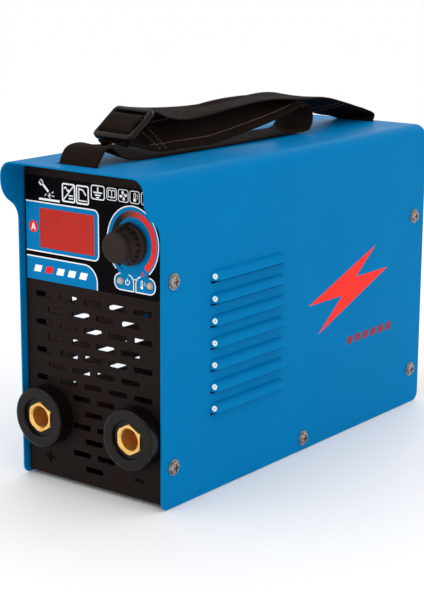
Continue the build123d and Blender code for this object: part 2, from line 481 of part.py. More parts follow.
def smooth(pts, n=4):
    # centripetal Catmull-Rom through the control points
    out = []
    p = [pts[0]] + list(pts) + [pts[-1]]
    p[0] = (2 * pts[0][0] - pts[1][0], 2 * pts[0][1] - pts[1][1])
    p[-1] = (2 * pts[-1][0] - pts[-2][0], 2 * pts[-1][1] - pts[-2][1])
    for i in range(1, len(p) - 2):
        t = [0]
        for a, b in ((i - 1, i), (i, i + 1), (i + 1, i + 2)):
            t.append(t[-1] + max(1e-6, math.dist(p[a], p[b])) ** 0.5)
        for s in range(n):
            u = t[1] + (t[2] - t[1]) * s / n

            def L(a, b, ta, tb):
                return tuple(((tb - u) * a[k] + (u - ta) * b[k]) / (tb - ta) for k in (0, 1))
            A1, A2, A3 = L(p[i - 1], p[i], t[0], t[1]), L(p[i], p[i + 1], t[1], t[2]), L(p[i + 1], p[i + 2], t[2], t[3])
            B1, B2 = L(A1, A2, t[0], t[2]), L(A2, A3, t[1], t[3])
            out.append(L(B1, B2, t[1], t[2]))
    out.append(pts[-1])
    return out


line = smooth(ctrl, 2)
left, right = [], []
for i, p in enumerate(line):
    a, b = line[max(0, i - 1)], line[min(len(line) - 1, i + 1)]
    d = math.dist(a, b)
    n = (-(b[1] - a[1]) / d, (b[0] - a[0]) / d)
    left.append((p[0] + n[0] * STRAP_T / 2, p[1] + n[1] * STRAP_T / 2))
    right.append((p[0] - n[0] * STRAP_T / 2, p[1] - n[1] * STRAP_T / 2))
strap = prism_yz(left + right[::-1], -30, 30)
strap = strap & prism_xy([(-21.4, -20), (8.1, -20), (8.1, 0), (15.0, 287.5), (15.0, 320), (-15.0, 320), (-15.0, 287.5), (-21.4, 0)], 150, 260)
put("carry_strap", strap)
print("strap centre line", round(sum(math.dist(a, b) for a, b in zip(line, line[1:])), 1), "mm,", len(line), "points")

BK = (-5.7, 39.0, 220.9)
bk = fillet(Box(34.6, 25.0, 3.0).edges().filter_by(Axis.Z), 3.2)
bk = bk - Pos(0, 6.0, 0) * Box(30.6, 8.2, 10) - Pos(0, -6.0, 0) * Box(30.6, 8.2, 10)
bk = fillet(edges_at(bk, lambda e: abs(abs(e.center().Z) - 1.5) < 1e-3), 0.7)
put("strap_buckle", Pos(*BK) * Rot(37.9, 0, 0) * bk)
put("strap_anchor_bars", Compound(children=[cx(BAR_F[0], BAR_F[1], 2.0, -27.0, 13.8), cx(BAR_R[0], BAR_R[1], 2.0, -21.0, 21.0)]))

for name, s in NODES.items():
    s = Pos(0, -Y_MID, 0) * s
    s.label = name
    export_step(s, "parts/" + name + ".step")
print(len(NODES), "nodes, Y_MID", Y_MID)
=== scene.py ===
import bpy
import bmesh
import math
from mathutils import Vector, Matrix


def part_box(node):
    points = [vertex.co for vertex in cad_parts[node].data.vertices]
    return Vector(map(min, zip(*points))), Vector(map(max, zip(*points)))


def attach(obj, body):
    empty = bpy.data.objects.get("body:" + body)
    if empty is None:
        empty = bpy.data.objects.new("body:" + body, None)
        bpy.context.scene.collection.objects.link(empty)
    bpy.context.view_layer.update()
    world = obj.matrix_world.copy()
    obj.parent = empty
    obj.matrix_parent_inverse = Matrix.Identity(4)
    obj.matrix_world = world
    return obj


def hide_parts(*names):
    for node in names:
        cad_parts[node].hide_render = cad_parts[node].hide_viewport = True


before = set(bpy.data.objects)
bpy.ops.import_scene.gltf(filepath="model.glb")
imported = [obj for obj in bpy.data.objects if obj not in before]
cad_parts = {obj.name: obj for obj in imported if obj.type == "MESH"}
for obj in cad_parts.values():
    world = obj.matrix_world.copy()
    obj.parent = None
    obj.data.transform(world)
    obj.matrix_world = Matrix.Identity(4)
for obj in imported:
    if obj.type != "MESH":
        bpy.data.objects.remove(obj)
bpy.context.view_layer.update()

# the design's own Y = 0 is the lower front edge of the cover's side walls; the
# hood's front edge is 14.609 mm ahead of it
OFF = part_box("top_cover")[0][1] * 1000 + 14.609


def P(x, y, z):
    """a point in design millimetres, as metres in the row frame"""
    return Vector((x / 1000, (y + OFF) / 1000, z / 1000))


def srgb(r, g, b):
    out = []
    for c in (r, g, b):
        c /= 255.0
        out.append(c / 12.92 if c <= 0.04045 else ((c + 0.055) / 1.055) ** 2.4)
    return (*out, 1.0)


# ------------------------------------------------------------------ materials
def new_mat(name):
    m = bpy.data.materials.new(name)
    m.use_nodes = True
    nt = m.node_tree
    return m, nt, nt.nodes["Principled BSDF"]


def lnk(nt, a, b):
    nt.links.new(a, b)


def noise(nt, vec, scale, detail=3.0, rough=0.5):
    n = nt.nodes.new("ShaderNodeTexNoise")
    n.inputs["Scale"].default_value = scale
    n.inputs["Detail"].default_value = detail
    n.inputs["Roughness"].default_value = rough
    lnk(nt, vec, n.inputs["Vector"])
    return n


def ramp(nt, fac, stops):
    r = nt.nodes.new("ShaderNodeValToRGB")
    el = r.color_ramp.elements
    while len(el) < len(stops):
        el.new(0.5)
    for e, (p, c) in zip(el, stops):
        e.position = p
        e.color = c if len(c) == 4 else (*c, 1.0)
    lnk(nt, fac, r.inputs["Fac"])
    return r


def mrange(nt, fac, lo, hi, a=0.0, b=1.0):
    m = nt.nodes.new("ShaderNodeMapRange")
    m.inputs["From Min"].default_value = a
    m.inputs["From Max"].default_value = b
    m.inputs["To Min"].default_value = lo
    m.inputs["To Max"].default_value = hi
    lnk(nt, fac, m.inputs["Value"])
    return m


def bump(nt, height, strength, dist, normal=None):
    b = nt.nodes.new("ShaderNodeBump")
    b.inputs["Strength"].default_value = strength
    b.inputs["Distance"].default_value = dist
    lnk(nt, height, b.inputs["Height"])
    if normal is not None:
        lnk(nt, normal, b.inputs["Normal"])
    return b


def coords(nt, kind="Object"):
    return nt.nodes.new("ShaderNodeTexCoord").outputs[kind]


def mul(c, k):
    return (min(1, c[0] * k), min(1, c[1] * k), min(1, c[2] * k), 1.0)


def surface(name, col, rough=(0.4, 0.5), metal=0.0, vary=0.06, grain=900.0, grain_d=0.00002, grain_s=0.35, spec=0.5,
            coat=0.0, coat_rough=0.1, dust=0.0, scale=25.0, sheen=0.0, wear=0.0, ior=1.45):
    """moulded, painted or metal surface with colour clouding, roughness clouding, fine grain and faint dust"""
    m, nt, p = new_mat(name)
    v = coords(nt)
    big = noise(nt, v, scale, 4.0, 0.6)
    fine = noise(nt, v, grain, 2.0, 0.55)
    c = ramp(nt, big.outputs["Fac"], [(0.3, mul(col, 1 - vary)), (0.7, mul(col, 1 + vary))])
    out = c.outputs["Color"]
    if dust > 0:
        d = noise(nt, v, scale * 9, 6.0, 0.7)
        dr = mrange(nt, d.outputs["Fac"], 0.0, dust, 0.52, 0.8)
        mx = nt.nodes.new("ShaderNodeMix")
        mx.data_type = "RGBA"
        lnk(nt, dr.outputs["Result"], mx.inputs["Factor"])
        lnk(nt, out, mx.inputs["A"])
        mx.inputs["B"].default_value = (0.35, 0.33, 0.31, 1)
        out = mx.outputs["Result"]
    lnk(nt, out, p.inputs["Base Color"])
    r = mrange(nt, big.outputs["Fac"], rough[0], rough[1], 0.3, 0.7)
    lnk(nt, r.outputs["Result"], p.inputs["Roughness"])
    b = bump(nt, fine.outputs["Fac"], grain_s, grain_d)
    lnk(nt, b.outputs["Normal"], p.inputs["Normal"])
    p.inputs["Metallic"].default_value = metal
    p.inputs["Specular IOR Level"].default_value = spec
    p.inputs["IOR"].default_value = ior
    p.inputs["Coat Weight"].default_value = coat
    p.inputs["Coat Roughness"].default_value = coat_rough
    if sheen:
        p.inputs["Sheen Weight"].default_value = sheen
    return m


BLUE = srgb(0, 117, 175)
BLACK_PANEL = srgb(28, 19, 16)
OVER_BLACK = srgb(6, 4, 7)
RED = srgb(255, 48, 38)

M = {}
M["blue"] = surface("blue_powder_coat", BLUE, rough=(0.34, 0.42), vary=0.03, grain=1100, grain_d=0.00003, grain_s=0.25, spec=0.015)
M["panel"] = surface("black_powder_coat", BLACK_PANEL, rough=(0.42, 0.52), vary=0.10, grain=1500, grain_d=0.00003, grain_s=0.35, spec=0.07)
M["plastic"] = surface("black_moulded_plastic", srgb(24, 17, 14), rough=(0.30, 0.42), vary=0.10, grain=2200, grain_d=0.00002, grain_s=0.25, spec=0.10)
M["gloss"] = surface("gloss_black_plastic", srgb(23, 17, 15), rough=(0.16, 0.26), vary=0.08, grain=900, grain_d=0.00001, grain_s=0.15, spec=0.13)
M["knob"] = surface("knob_plastic", srgb(38, 29, 25), rough=(0.34, 0.46), vary=0.08, grain=2600, grain_d=0.00003, grain_s=0.3, spec=0.16)
M["rubber"] = surface("rubber", srgb(26, 26, 26), rough=(0.7, 0.85), vary=0.1, grain=1400, grain_s=0.3)
M["film"] = surface("overlay_film_black", OVER_BLACK, rough=(0.34, 0.42), vary=0.08, grain=1800, grain_d=0.00001, grain_s=0.2, spec=0.025)
M["film_blue"] = surface("overlay_ink_blue", srgb(0, 118, 176), rough=(0.34, 0.42), vary=0.03, grain=1800, grain_d=0.00001, grain_s=0.2, spec=0.04)
M["film_white"] = surface("overlay_ink_white", srgb(244, 246, 246), rough=(0.34, 0.4), vary=0.02, grain=1800, grain_d=0.00001, grain_s=0.2, spec=0.2)
M["film_red"] = surface("overlay_ink_red", srgb(236, 40, 34), rough=(0.34, 0.42), vary=0.03, grain=1800, grain_d=0.00001, grain_s=0.2, spec=0.04)
M["side_red"] = surface("printed_red", RED, rough=(0.34, 0.42), vary=0.03, grain=1600, grain_d=0.00001, grain_s=0.2, spec=0.08)
M["pcb"] = surface("solder_mask_green", srgb(28, 92, 52), rough=(0.3, 0.45), vary=0.15, scale=90, grain=600, grain_s=0.2)
M["zinc"] = surface("zinc_plate", srgb(176, 176, 170), rough=(0.28, 0.42), metal=1.0, vary=0.08, grain=1500, grain_s=0.12)
M["chrome"] = surface("bright_nickel", srgb(196, 190, 184), rough=(0.12, 0.24), metal=1.0, vary=0.08, grain=1200, grain_s=0.08)
M["screw"] = surface("screw_steel", srgb(150, 138, 130), rough=(0.14, 0.34), metal=1.0, vary=0.55, scale=520, grain=1500, grain_s=0.5, grain_d=0.0001)
M["socket"] = surface("socket_plastic", srgb(15, 10, 8), rough=(0.16, 0.26), vary=0.12, grain=1600, grain_d=0.00001, grain_s=0.15, spec=0.22)
# painted highlight for the louvres' front ends: near-white colour that stands in for a glint, not a finish of the steel
M["lance"] = surface("bare_lanced_steel", srgb(226, 232, 232), rough=(0.25, 0.4), metal=0.2, vary=0.06, grain=1500, grain_s=0.2, spec=0.6)
M["side_ink"] = surface("printed_dark_red", srgb(150, 52, 62), rough=(0.34, 0.42), vary=0.04, grain=1600, grain_d=0.00001, grain_s=0.2, spec=0.06)
M["alu"] = surface("extruded_aluminium", srgb(190, 192, 196), rough=(0.3, 0.42), metal=1.0, vary=0.06, grain=1200, grain_s=0.2)
M["copper"] = surface("lacquered_copper", srgb(184, 100, 52), rough=(0.25, 0.38), metal=1.0, vary=0.12, grain=700, grain_s=0.3)
M["ferrite"] = surface("ferrite", srgb(58, 58, 60), rough=(0.5, 0.65), vary=0.1, grain=1200, grain_s=0.3)
M["sleeve"] = surface("capacitor_sleeve", srgb(26, 34, 62), rough=(0.2, 0.3), vary=0.08, grain=500, grain_s=0.1)
M["liner"] = surface("insulating_sheet", srgb(150, 126, 110), rough=(0.45, 0.6), vary=0.08, grain=900, grain_s=0.2)
M["led"] = surface("led_lens_off", srgb(176, 168, 164), rough=(0.22, 0.32), vary=0.05, grain=800, grain_s=0.1, coat=0.4)


def brass_mat():
    m, nt, p = new_mat("turned_brass")
    v = coords(nt)
    mp = nt.nodes.new("ShaderNodeMapping")
    mp.inputs["Scale"].default_value = (1, 14, 1)
    lnk(nt, v, mp.inputs["Vector"])
    n = noise(nt, mp.outputs["Vector"], 420, 3, 0.6)
    big = noise(nt, v, 140, 3, 0.6)
    c = ramp(nt, big.outputs["Fac"], [(0.3, srgb(232, 172, 84)), (0.7, srgb(250, 208, 126))])
    lnk(nt, c.outputs["Color"], p.inputs["Base Color"])
    r = mrange(nt, n.outputs["Fac"], 0.22, 0.38, 0.3, 0.7)
    lnk(nt, r.outputs["Result"], p.inputs["Roughness"])
    b = bump(nt, n.outputs["Fac"], 0.25, 0.00002)
    lnk(nt, b.outputs["Normal"], p.inputs["Normal"])
    p.inputs["Metallic"].default_value = 0.8
    return m


M["brass"] = brass_mat()


def window_mat():
    m, nt, p = new_mat("red_display_filter")
    v = coords(nt)
    n = noise(nt, v, 60, 2, 0.5)
    c = ramp(nt, n.outputs["Fac"], [(0.3, srgb(180, 38, 28)), (0.7, srgb(193, 45, 33))])
    lnk(nt, c.outputs["Color"], p.inputs["Base Color"])
    r = mrange(nt, n.outputs["Fac"], 0.13, 0.2, 0.3, 0.7)
    lnk(nt, r.outputs["Result"], p.inputs["Roughness"])
    f = noise(nt, v, 300, 2, 0.5)
    b = bump(nt, f.outputs["Fac"], 0.06, 0.00002)
    lnk(nt, b.outputs["Normal"], p.inputs["Normal"])
    p.inputs["Specular IOR Level"].default_value = 0.10
    return m


M["window"] = window_mat()
M["ghost"] = surface("unlit_figures", srgb(176, 50, 40), rough=(0.16, 0.24), vary=0.03, grain=300, grain_s=0.06, spec=0.1)


def webbing_mat():
    """woven polyester webbing: plain weave worked in metres along (v) and across (u) the band"""
    m, nt, p = new_mat("woven_webbing")
    uv = coords(nt, "UV")
    sep = nt.nodes.new("ShaderNodeSeparateXYZ")
    lnk(nt, uv, sep.inputs[0])

    def math_(op, a, b=None):
        n = nt.nodes.new("ShaderNodeMath")
        n.operation = op
        for i, x in enumerate((a, b)):
            if x is None:
                continue
            if isinstance(x, (int, float)):
                n.inputs[i].default_value = x
            else:
                lnk(nt, x, n.inputs[i])
        return n.outputs[0]
    # warp ribs across, weft picks along; uv is in units of 1 m
    u = math_("MULTIPLY", sep.outputs[0], 2 * math.pi / 0.00115)
    v = math_("MULTIPLY", sep.outputs[1], 2 * math.pi / 0.0013)
    su = math_("SINE", u)
    sv = math_("SINE", v)
    chk = math_("MULTIPLY", su, sv)
    chk = math_("ADD", math_("MULTIPLY", chk, 0.5), math_("MULTIPLY", math_("ABSOLUTE", su), 0.5))
    big = noise(nt, coords(nt), 45, 4, 0.6)
    fuzz = noise(nt, coords(nt), 2600, 2, 0.6)
    mixv = math_("ADD", math_("MULTIPLY", chk, 0.6), math_("MULTIPLY", big.outputs["Fac"], 0.5))
    c = ramp(nt, mixv, [(0.05, srgb(13, 8, 5)), (0.4, srgb(27, 18, 13)), (0.85, srgb(50, 37, 30))])
    lnk(nt, c.outputs["Color"], p.inputs["Base Color"])
    r = mrange(nt, big.outputs["Fac"], 0.5, 0.68, 0.3, 0.7)
    lnk(nt, r.outputs["Result"], p.inputs["Roughness"])
    b1 = bump(nt, chk, 1.0, 0.0004)
    b2 = bump(nt, fuzz.outputs["Fac"], 0.25, 0.0001, b1.outputs["Normal"])
    lnk(nt, b2.outputs["Normal"], p.inputs["Normal"])
    p.inputs["Specular IOR Level"].default_value = 0.035
    return m


M["web"] = webbing_mat()
M["thread"] = surface("sewing_thread", srgb(104, 88, 78), rough=(0.45, 0.6), vary=0.12, grain=3000, grain_s=0.4, spec=0.2)

USE = {
    "top_cover": "blue", "base_tray": "panel", "front_panel": "panel", "rear_panel": "panel", "rubber_feet": "rubber",
    "front_overlay": "film", "side_decal_right": "side_red", "side_decal_left": "side_red", "display_window": "window",
    "display_module": "plastic", "control_board": "pcb", "main_board": "pcb", "panel_standoffs": "zinc",
    "potentiometer_body": "zinc", "potentiometer_nut": "zinc", "knob_shaft": "alu", "current_knob": "knob",
    "power_led": "led", "fault_led": "led", "positive_socket_housing": "socket", "negative_socket_housing": "socket",
    "positive_socket_insert": "brass", "negative_socket_insert": "brass", "socket_lock_rings": "plastic",
    "socket_stud_nuts": "zinc", "positive_bus_bar": "copper", "negative_bus_bar": "copper", "board_standoffs": "zinc",
    "heatsink_primary": "alu", "heatsink_secondary": "alu", "igbt_modules": "plastic", "output_diodes": "plastic",
    "transformer_core": "ferrite", "transformer_winding": "copper", "output_choke": "copper", "bulk_capacitors": "sleeve",
    "rectifier_bridge": "plastic", "fan_frame": "plastic", "fan_rotor": "plastic", "fan_guard": "chrome",
    "fan_screws": "chrome", "fan_screw_nuts": "zinc", "power_switch_body": "gloss", "power_switch_rocker": "gloss",
    "cable_gland_body": "plastic", "cable_gland_cap": "plastic", "cable_gland_seal": "rubber",
    "cable_gland_locknut": "plastic", "cover_screws": "screw", "cover_clip_nuts": "zinc", "carry_strap": "web",
    "strap_buckle": "gloss", "strap_anchor_bars": "zinc",
    "insulation_liner_left": "liner", "insulation_liner_right": "liner"}
for n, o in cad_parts.items():
    o.data.materials.clear()
    o.data.materials.append(M[USE.get(n, "plastic")])


# ------------------------------------------------------------------ mesh helpers
def add_obj(name, verts, faces, mat, body="case", smooth=False):
    me = bpy.data.meshes.new(name)
    me.from_pydata([tuple(v) for v in verts], [], faces)
    me.validate()
    me.update()
    o = bpy.data.objects.new(name, me)
    bpy.context.scene.collection.objects.link(o)
    me.materials.append(mat)
    if smooth:
        for p in me.polygons:
            p.use_smooth = True
    if body:
        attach(o, body)
    return o


def rrect(x0, x1, z0, z1, r, n=8):
    """corner radii r = (bottom left, bottom right, top right, top left), anticlockwise loop"""
    if not hasattr(r, "__len__"):
        r = (r, r, r, r)
    out = []
    for (cx, cz, rr, a0, sx, sz) in ((x0, z0, r[0], 180, 1, 1), (x1, z0, r[1], 270, -1, 1), (x1, z1, r[2], 0, -1, -1), (x0, z1, r[3], 90, 1, -1)):
        if rr <= 0:
            out.append((cx, cz))
            continue
        for i in range(n + 1):
            a = math.radians(a0 + 90 * i / n)
            out.append((cx + sx * rr + rr * math.cos(a), cz + sz * rr + rr * math.sin(a)))
    return out


def circ(x, z, r, n=48, a0=0, a1=360):
    full = abs(a1 - a0) >= 360
    m = n if full else n + 1
    return [(x + r * math.cos(math.radians(a0 + (a1 - a0) * i / n)), z + r * math.sin(math.radians(a0 + (a1 - a0) * i / n))) for i in range(m)]


def stroke(pts, w, closed=False):
    """outline of a line of width w through pts, mitred"""
    n = len(pts)
    L, R = [], []
    for i in range(n):
        a = pts[(i - 1) % n] if (closed or i > 0) else pts[i]
        b = pts[i]
        c = pts[(i + 1) % n] if (closed or i < n - 1) else pts[i]
        d1 = Vector((b[0] - a[0], b[1] - a[1]))
        d2 = Vector((c[0] - b[0], c[1] - b[1]))
        if d1.length < 1e-9:
            d1 = d2.copy()
        if d2.length < 1e-9:
            d2 = d1.copy()
        d1.normalize()
        d2.normalize()
        t = (d1 + d2)
        t = t.normalized() if t.length > 1e-6 else d1
        nn = Vector((-t.y, t.x))
        k = max(0.35, nn.dot(Vector((-d1.y, d1.x))))
        L.append((b[0] + nn.x * w / 2 / k, b[1] + nn.y * w / 2 / k))
        R.append((b[0] - nn.x * w / 2 / k, b[1] - nn.y * w / 2 / k))
    if closed:
        return [L, R]          # two loops, one inside the other
    return [L + R[::-1]]


def plate(name, groups, y0, y1, mat, body="case", put=None, rnd=0.0):
    """flat printed shapes between y0 (front) and y1 (back), in design millimetres. Each group is a list of loops that are
    filled together, so that a loop inside another is a hole. All groups share one object."""
    allv, allf = [], []
    for loops in groups:
        cu = bpy.data.curves.new("tmp", "CURVE")
        cu.dimensions = "2D"
        cu.fill_mode = "BOTH"
        cu.extrude = abs(y1 - y0) / 2000 - rnd / 1000
        cu.bevel_depth = rnd / 1000
        cu.bevel_resolution = 3
        cu.offset = -rnd / 1000
        for lp in loops:
            s = cu.splines.new("POLY")
            s.points.add(len(lp) - 1)
            for q, (x, z) in zip(s.points, lp):
                q.co = (x / 1000, z / 1000, 0, 1)
            s.use_cyclic_u = True
        t = bpy.data.objects.new("tmp", cu)
        me = bpy.data.meshes.new_from_object(t)
        bpy.data.objects.remove(t)
        bpy.data.curves.remove(cu)
        bm = bmesh.new()
        bm.from_mesh(me)
        bmesh.ops.remove_doubles(bm, verts=bm.verts, dist=1e-7)
        bmesh.ops.recalc_face_normals(bm, faces=bm.faces)
        base = len(allv)
        bm.verts.index_update()
        ym = (y0 + y1) / 2
        for v in bm.verts:
            allv.append(put(v.co * 1000) if put else Vector((v.co.x, (ym + OFF) / 1000 - v.co.z, v.co.y)))
        for f in bm.faces:
            allf.append([base + v.index for v in f.verts])
        bm.free()
        bpy.data.meshes.remove(me)
    return add_obj(name, allv, allf, mat, body)


def smoothed(o, angle=35):
    me = o.data
    for p in me.polygons:
        p.use_smooth = True
    try:
        me.set_sharp_from_angle(angle=math.radians(angle))
    except Exception:
        pass

#@@PIECES@@
# ------------------------------------------------------------------ printed overlay
FACE = 3.3                       # the overlay's front surface
Y1, Y2, Y3 = FACE - 0.04, FACE - 0.07, FACE - 0.10
OX0, OX1 = -52.4, 52.4
KX, KZ = 31.95, 158.15         # middle of the printed dial
KR, KS = 19.35, 21.65 / 19.35   # its half width, and how much taller than wide it is printed

# blue fields
win_field = rrect(OX0, 5.8, 143.9, 174.2, (0, 3.6, 3.6, 0))
band_field = rrect(OX0, 4.5, 126.25, 140.5, (0, 0, 10.0, 0), 14)
wx0, wx1, wz0, wz1 = -41.3, 2.5, 146.6, 170.9
pod1 = rrect(18.0, 32.6, 129.6, 139.2, (4.2, 1.0, 4.6, 4.6), 8)
pod2 = rrect(34.2, 48.8, 129.6, 139.2, (1.0, 4.2, 4.6, 4.6), 8)
leds = [(22.1, 134.7), (44.5, 134.7)]
neck = [(20.6, 138.6), (29.6, 136.4), (35.4, 136.4), (43.6, 138.6), (42.6, 144.6), (21.6, 144.6)]
plate("overlay_ink_blue_fields", [
    [win_field, rrect(wx0, wx1, wz0, wz1, 0.0)],
    [band_field]], Y1, FACE, M["film_blue"])
def oval(r, n, a0=None, a1=None, cx=KX, cz=KZ):
    pts = circ(0, 0, r, n) if a0 is None else circ(0, 0, r, n, a0, a1)
    return [(cx + x, cz + z * KS) for x, z in pts]


plate("overlay_ink_blue_dial", [[oval(KR - 0.2, 72), circ(31.6, 157.9, 3.7, 32)]], Y1, FACE, M["film_blue"])
plate("overlay_ink_blue_neck", [[neck]], Y1 + 0.01, FACE, M["film_blue"])
plate("overlay_ink_blue_pods", [[pod1, circ(*leds[0], 2.65, 24)], [pod2, circ(*leds[1], 2.65, 24)]], Y2, FACE, M["film_blue"])

# white outlines
def rpath(loop_from, loop_to):
    return loop_from + loop_to


def corner(cx, cz, r, a0, a1, n=10):
    return [(cx + r * math.cos(math.radians(a0 + (a1 - a0) * i / n)), cz + r * math.sin(math.radians(a0 + (a1 - a0) * i / n))) for i in range(n + 1)]


lw = 0.75
w_out = [(OX0, 174.2)] + corner(5.8 - 3.6, 174.2 - 3.6, 3.6, 90, 0) + corner(5.8 - 3.6, 143.9 + 3.6, 3.6, 0, -90) + [(OX0, 143.9)]
b_out = [(OX0, 140.5)] + corner(4.5 - 10, 140.5 - 10, 10, 90, 0, 16) + [(4.5, 126.25)]
# dial outline runs from the left pod over the top to the right pod
d_out = oval(KR, 72, 229, -51)
p1_out = corner(18 + 4.6, 139.2 - 4.6, 4.6, 90, 180) + corner(18 + 4.2, 129.6 + 4.2, 4.2, 180, 270) + [(32.6, 129.6)] + corner(32.6 - 4.6, 139.2 - 4.6, 4.6, 0, 80)
p2_out = corner(48.8 - 4.6, 139.2 - 4.6, 4.6, 90, 0) + corner(48.8 - 4.2, 129.6 + 4.2, 4.2, 0, -90) + [(34.2, 129.6)] + corner(34.2 + 4.6, 139.2 - 4.6, 4.6, 180, 100)
plate("overlay_ink_white_outlines", [stroke(w_out, lw), stroke(b_out, lw), stroke(d_out, 0.7), stroke(p1_out, 0.65), stroke(p2_out, 0.65),
                                     stroke([(31.2, 136.9), (35.6, 136.9)], 0.6)], Y3, FACE, M["film_white"])

# the dial's scale: a band whose colour runs round the dial
def arc_band(r0, r1, a0, a1, n=72):
    return oval(r1, n, a0, a1, 32.55, 157.9) + oval(r0, n, a1, a0, 32.55, 157.9)


gm, gnt, gp = new_mat("overlay_ink_dial_scale")
tc = coords(gnt)
mp = gnt.nodes.new("ShaderNodeMapping")
cen = P(32.55, 0, 157.9)
# the angle round the dial's middle, worked out with math nodes in the dial's X-Z plane, with the seam at the bottom
mp.vector_type = "POINT"
mp.inputs["Location"].default_value = (0, 0, 0)
sep = gnt.nodes.new("ShaderNodeSeparateXYZ")
lnk(gnt, tc, sep.inputs[0])


def gmath(op, a, b):
    n = gnt.nodes.new("ShaderNodeMath")
    n.operation = op
    for i, x in enumerate((a, b)):
        if isinstance(x, (int, float)):
            n.inputs[i].default_value = x
        else:
            lnk(gnt, x, n.inputs[i])
    return n.outputs[0]


dx = gmath("SUBTRACT", sep.outputs["X"], cen.x)
dz = gmath("SUBTRACT", sep.outputs["Z"], cen.z)
ang = gmath("ARCTAN2", dx, dz)                     # 0 at the top, positive clockwise, -pi..pi
fac = gmath("ADD", gmath("MULTIPLY", ang, 1 / (2 * math.pi)), 0.5)
gr = ramp(gnt, fac, [(0.09, srgb(10, 7, 12)), (0.40, srgb(14, 9, 12)), (0.47, srgb(112, 60, 52)), (0.53, srgb(190, 66, 56)), (0.58, srgb(246, 54, 44)), (0.95, srgb(255, 48, 40))])
gn = noise(gnt, tc, 1800, 2, 0.5)
lnk(gnt, gr.outputs["Color"], gp.inputs["Base Color"])
grr = mrange(gnt, gn.outputs["Fac"], 0.32, 0.4, 0.3, 0.7)
lnk(gnt, grr.outputs["Result"], gp.inputs["Roughness"])
gb_ = bump(gnt, gn.outputs["Fac"], 0.2, 0.00001)
lnk(gnt, gb_.outputs["Normal"], gp.inputs["Normal"])
gp.inputs["Specular IOR Level"].default_value = 0.1
gnt.nodes.remove(mp)
plate("overlay_ink_dial_scale", [[arc_band(13.9, 17.2, 232, -54)]], Y2, FACE, gm)

# unlit figures that just show through the red filter
digits = []
for d_ in range(3):
    x0 = -37.6 + 12.9 * d_
    for (xa, za, xb, zb) in ((1.4, 167.0, 9.0, 167.0), (1.2, 158.75, 8.6, 158.75), (0.9, 150.5, 8.4, 150.5), (0.9, 166.2, 0.6, 159.6), (0.5, 157.9, 0.2, 151.3), (9.6, 166.2, 9.3, 159.6), (9.2, 157.9, 8.9, 151.3)):
        digits.append(stroke([(x0 + xa, za), (x0 + xb, zb)], 1.35))
plate("display_unlit_figures", digits, 3.325, 3.352, M["ghost"])

# small marks at the two ends of the scale, and the pictograms: generic signs only
def bar_h(x0, x1, z, t=0.6):
    return [(x0, z - t / 2), (x1, z - t / 2), (x1, z + t / 2), (x0, z + t / 2)]


plate("overlay_ink_scale_low_mark", [[bar_h(22.3, 24.7, 142.2)]], Y2, FACE, M["film"])
plate("overlay_ink_scale_high_mark", [[bar_h(38.2, 40.8, 140.9)], [[(39.2, 139.6), (39.8, 139.6), (39.8, 140.59), (39.2, 140.59)]],
                                      [[(39.2, 141.21), (39.8, 141.21), (39.8, 142.2), (39.2, 142.2)]]], Y2, FACE, M["film_red"])

# ampere sign: white letter on a red disc
plate("overlay_ink_red_disc", [[circ(-46.5, 158.8, 3.6, 40)]], Y2, FACE, M["film_red"])
ax, az_ = -46.5, 158.8
A_out = [(ax - 1.9, az_ - 2.1), (ax - 0.45, az_ + 2.2), (ax + 0.45, az_ + 2.2), (ax + 1.9, az_ - 2.1), (ax + 1.05, az_ - 2.1), (ax + 0.75, az_ - 1.1), (ax - 0.75, az_ - 1.1), (ax - 1.05, az_ - 2.1)]
A_in = [(ax - 0.5, az_ - 0.35), (ax + 0.5, az_ - 0.35), (ax, az_ + 1.25)]
plate("overlay_ink_ampere_sign", [[A_out, A_in]], Y3, FACE, M["film_white"])

G = []
# 1: electrode and arc on a workpiece
G += [stroke([(-40.5, 187.6), (-33.6, 181.2)], 1.5)]
G += [[[(-41.6, 186.0), (-39.4, 188.5), (-37.4, 186.7), (-39.6, 184.2)]]]
G += [stroke([(-33.2, 180.4), (-32.0, 179.2), (-33.6, 178.9), (-32.2, 177.3)], 0.55)]
G += [stroke([(-35.4, 179.8), (-36.6, 178.4)], 0.5), stroke([(-31.0, 180.6), (-29.4, 181.6)], 0.5), stroke([(-30.9, 178.9), (-29.0, 178.9)], 0.5)]
G += [[[(-41.4, 175.6), (-24.6, 175.6), (-24.6, 176.9), (-41.4, 176.9)]]]
# 2: converter sign and drooping output curve
def box_o(x0, x1, z0, z1, r=0.8, w=0.55):
    return stroke(rrect(x0, x1, z0, z1, r, 4), w, True)


G += [box_o(-22.2, -12.6, 176.9, 187.4, 1.0, 0.95), box_o(-11.0, -1.8, 176.9, 187.4, 1.0, 0.95)]
G += [stroke([(-21.6, 177.6), (-13.2, 186.8)], 0.75)]
G += [stroke([(-20.9 + 4.0 * i / 14, 184.3 + 1.1 * math.sin(2 * math.pi * i / 14)) for i in range(15)], 0.75)]
G += [stroke([(-17.3, 180.6), (-13.8, 180.6)], 0.75), stroke([(-17.3, 178.9), (-13.8, 178.9)], 0.75)]
G += [stroke([(-9.2, 186.2), (-9.2, 178.6), (-3.2, 178.6)], 0.65)]
G += [stroke([(-9.0 + 0.35 * i, 185.4 - 0.0062 * i ** 2 * 1.0 - (0 if i < 9 else 0.34 * (i - 9))) for i in range(0, 16)], 0.85)]
